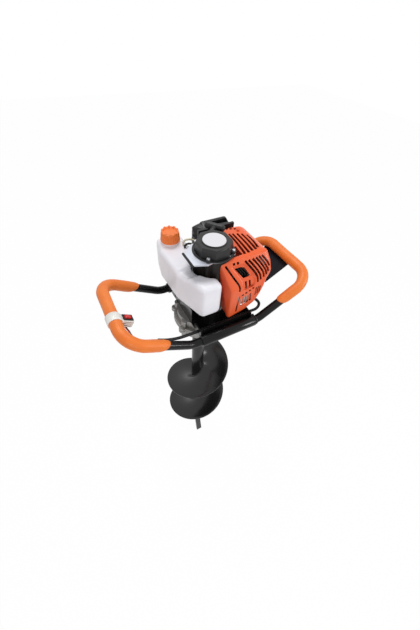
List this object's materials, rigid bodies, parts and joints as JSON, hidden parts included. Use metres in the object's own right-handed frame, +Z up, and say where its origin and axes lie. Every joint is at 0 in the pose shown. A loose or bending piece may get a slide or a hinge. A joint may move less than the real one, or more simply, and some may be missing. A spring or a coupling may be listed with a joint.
{
  "type": "earth auger",
  "caption": "Hand-held petrol earth auger: bent tube handles with foam grips, vertical-crank engine with recoil starter, reduction gearbox and a helical drill bit with a forked point.",
  "frame": {"origin": "on the drill axis at the level of the digging tips", "axes": "+Z up along the drill axis, +X to the operator's right as seen from the front, +Y towards the fuel cap and air cleaner"},
  "size_m": [0.6154, 0.3125, 1.172],
  "materials": {
    "black_paint": "gloss",
    "bit_paint": "gloss",
    "orange_foam": "foam",
    "bright_zinc": "zinc",
    "machined_steel": "machined",
    "cast_aluminium": "cast",
    "friction_lining": "sintered",
    "black_rubber": "matt",
    "black_plastic": "satin",
    "grey_plastic": "satin",
    "orange_plastic": "satin",
    "white_plastic": "satin",
    "tank_plastic": "translucent",
    "red_plastic": "gloss",
    "lead_insulation": "satin",
    "hose_rubber": "satin",
    "ceramic": "glazed",
    "heat_steel": "heat stained",
    "filter_foam": "foam",
    "rope": "braided"
  },
  "bodies": {
    "frame": {"base_frame": "black_paint", "left_handle": "black_paint", "right_handle": "black_paint", "left_grip": "orange_foam", "right_grip": "orange_foam", "handle_bolts": "bright_zinc", "guard_panel": "black_plastic", "switch_clamp": "white_plastic", "switch_body": "black_plastic", "switch_leads": "lead_insulation", "switch_loom": "black_rubber", "cable_tie": "black_plastic", "throttle_bracket": "black_paint", "gearbox_upper": "cast_aluminium", "gearbox_lower": "cast_aluminium", "case_bolts": "bright_zinc", "idler_pin": "machined_steel", "bearings": "machined_steel", "shaft_seal": "black_rubber", "clutch_hub": "machined_steel", "clutch_shoes": "friction_lining", "clutch_spring": "machined_steel", "clutch_housing": "cast_aluminium", "crankcase": "cast_aluminium", "crankshaft": "machined_steel", "connecting_rod": "machined_steel", "piston": "cast_aluminium", "cylinder_block": "cast_aluminium", "spark_plug": "ceramic", "plug_boot": "black_rubber", "ignition_coil": "black_plastic", "flywheel": "cast_aluminium", "fan_housing": "cast_aluminium", "starter_housing": "grey_plastic", "cover_screws": "bright_zinc", "muffler": "heat_steel", "shroud": "orange_plastic", "carburettor": "cast_aluminium", "filter_base": "black_plastic", "filter_element": "filter_foam", "filter_cover": "grey_plastic", "fuel_tank": "tank_plastic", "tank_bracket": "bright_zinc", "fuel_hoses": "hose_rubber"},
    "bit": {"output_shaft": "machined_steel", "output_gear": "machined_steel", "auger_stem": "bit_paint", "auger_flight": "bit_paint", "auger_point": "bit_paint", "cross_pin": "bright_zinc"},
    "idler": {"idler_gear": "machined_steel"},
    "drum": {"clutch_drum": "machined_steel"},
    "rocker": {"switch_rocker": "red_plastic"},
    "throttle": {"throttle_lever": "black_plastic"},
    "choke": {"choke_lever": "black_plastic"},
    "cap": {"fuel_cap": "orange_plastic"},
    "primer": {"primer_bulb": "red_plastic"},
    "reel": {"starter_reel": "white_plastic"},
    "pull": {"pull_handle": "black_plastic", "starter_rope": "rope"}
  },
  "joints": [
    {"name": "bit_spin", "type": "hinge", "parent": "frame", "child": "bit", "pos_m": [0, 0, 0.5], "axis": [0, 0, 1], "continuous": true},
    {"name": "idler_spin", "type": "hinge", "parent": "frame", "child": "idler", "pos_m": [0.07425, 0, 0.9], "axis": [0, 0, 1], "continuous": true},
    {"name": "drum_spin", "type": "hinge", "parent": "frame", "child": "drum", "pos_m": [0.0319, 0, 0.95], "axis": [0, 0, 1], "continuous": true},
    {"name": "stop_switch", "type": "hinge", "parent": "frame", "child": "rocker", "pos_m": [-0.22834, -0.033, 1.03288], "axis": [0, -1, 0], "range_deg": [0, 20]},
    {"name": "throttle_squeeze", "type": "hinge", "parent": "frame", "child": "throttle", "pos_m": [0.19764, 0.12, 0.94312], "axis": [0, -1, 0], "range_deg": [0, 16], "stiffness_Nm_per_rad": 0.6, "springref_deg": -20.05},
    {"name": "choke_turn", "type": "hinge", "parent": "frame", "child": "choke", "pos_m": [0.0659, 0.09565, 1.029], "axis": [0, 1, 0], "range_deg": [0, 70]},
    {"name": "cap_lift", "type": "slide", "parent": "frame", "child": "cap", "axis": [0, 0, 1], "range_m": [0, 0.06]},
    {"name": "primer_push", "type": "slide", "parent": "frame", "child": "primer", "axis": [0, 0, 1], "range_m": [0, 0.003], "stiffness_N_per_m": 800, "springref_m": -0.001},
    {"name": "starter_pull", "type": "slide", "parent": "frame", "child": "pull", "axis": [0.7547, 0.6561, 0], "range_m": [0, 0.6]},
    {"name": "reel_turn", "type": "hinge", "parent": "frame", "child": "reel", "pos_m": [0.0319, 0, 1.156], "axis": [0, 0, -1], "range_deg": [0, 1240]}
  ],
  "couplings": [
    {"joint": "idler_spin", "follows": "bit_spin", "ratio": -5},
    {"joint": "drum_spin", "follows": "bit_spin", "ratio": 30},
    {"joint": "reel_turn", "follows": "starter_pull", "rad_per_m": 35.714}
  ]
}
